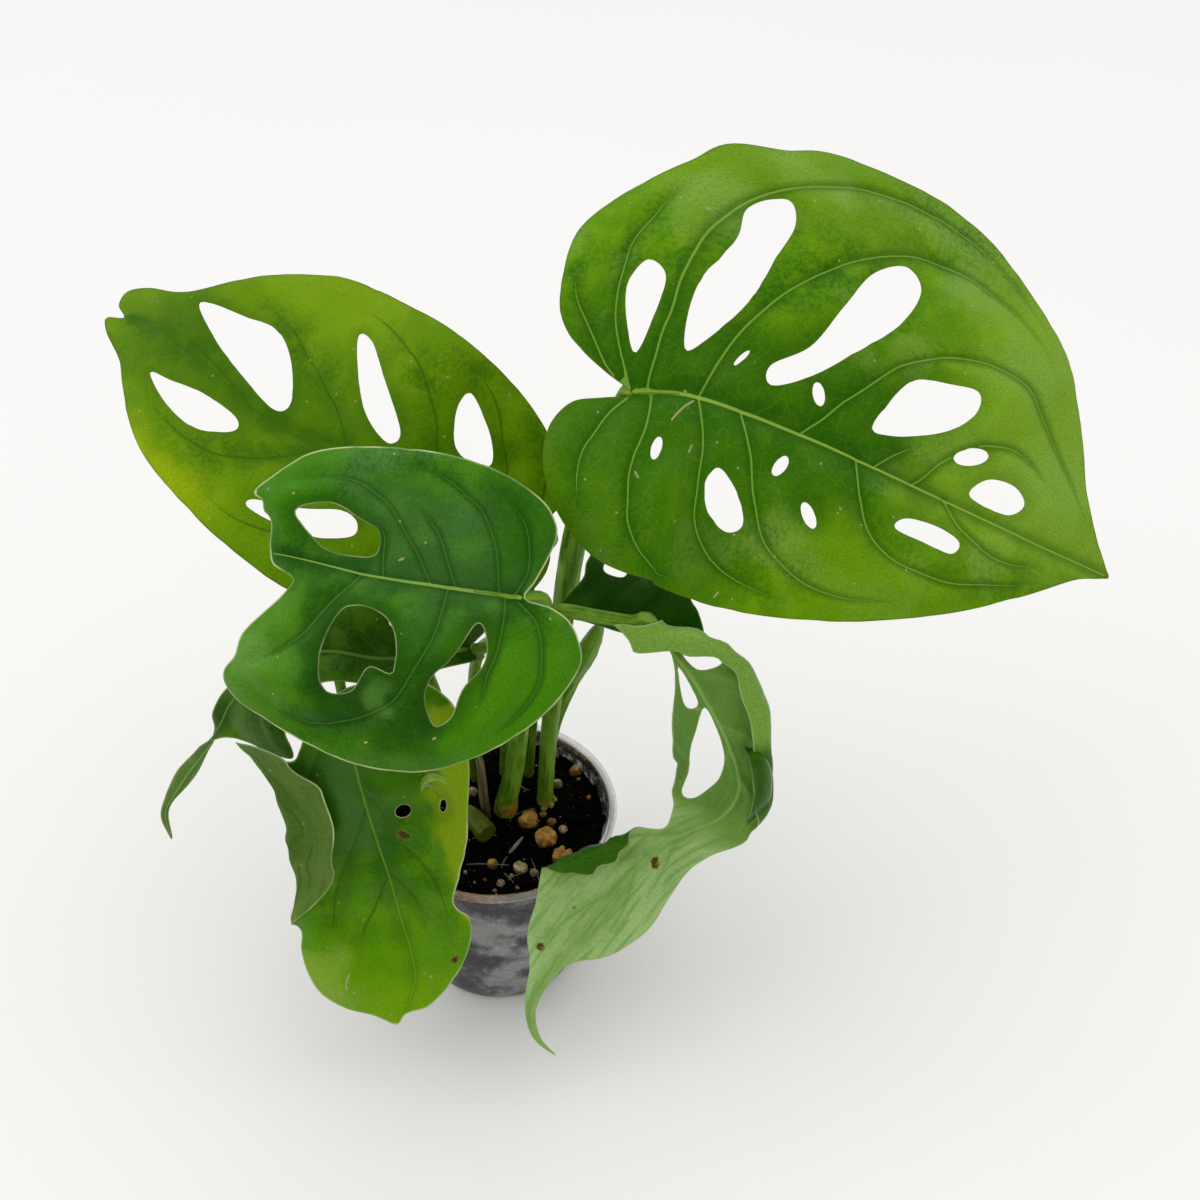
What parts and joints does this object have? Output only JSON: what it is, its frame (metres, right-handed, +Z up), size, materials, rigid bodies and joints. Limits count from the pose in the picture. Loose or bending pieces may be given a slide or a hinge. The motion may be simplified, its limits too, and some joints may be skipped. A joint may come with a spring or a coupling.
{
  "type": "monstera adansonii in a clear nursery cup",
  "caption": "Young climbing aroid with holed, lobed leaves on slender arching stems, rooted in dark soil with clay granules in a clear tapered cup.",
  "frame": {"origin": "middle of the flat underside of the cup", "axes": "+Z up; +X to the viewer's right along the widest spread of the leaves; -Y towards the viewer"},
  "size_m": [0.2044, 0.1078, 0.1789],
  "materials": {
    "clear_plastic": "gloss",
    "dark_soil": "matte",
    "leaf_bright_green": "satin",
    "leaf_yellow_green": "satin",
    "leaf_deep_green": "satin",
    "leaf_mid_green": "satin",
    "leaf_olive": "satin",
    "leaf_dark_green": "satin",
    "leaf_pale_underside": "satin",
    "petiole_green": "satin",
    "young_leaf_green": "satin",
    "withered_brown": "matte",
    "cut_petiole_green": "satin",
    "baked_clay": "matte",
    "pumice": "matte"
  },
  "bodies": {
    "root": {"cup": "clear_plastic", "soil": "dark_soil", "blade_right": "leaf_bright_green", "blade_back_left": "leaf_yellow_green", "blade_front_left": "leaf_deep_green", "blade_hanging": "leaf_mid_green", "blade_under": "leaf_olive", "blade_behind": "leaf_dark_green", "blade_twisted": "leaf_pale_underside", "petiole_right": "petiole_green", "petiole_back_left": "petiole_green", "petiole_front_left": "petiole_green", "petiole_hanging": "petiole_green", "petiole_under": "petiole_green", "petiole_behind": "petiole_green", "petiole_twisted": "petiole_green", "rolled_young_leaf": "young_leaf_green", "withered_petiole": "withered_brown", "cut_petiole": "cut_petiole_green", "clay_granule_1": "baked_clay", "clay_granule_2": "baked_clay", "clay_granule_3": "baked_clay", "clay_granule_4": "baked_clay", "clay_granule_5": "baked_clay", "clay_granule_6": "baked_clay", "pale_granule_1": "pumice", "pale_granule_2": "pumice", "pale_granule_3": "pumice", "pale_granule_4": "pumice", "pale_granule_5": "pumice", "pale_granule_6": "pumice", "pale_granule_7": "pumice"}
  },
  "joints": []
}
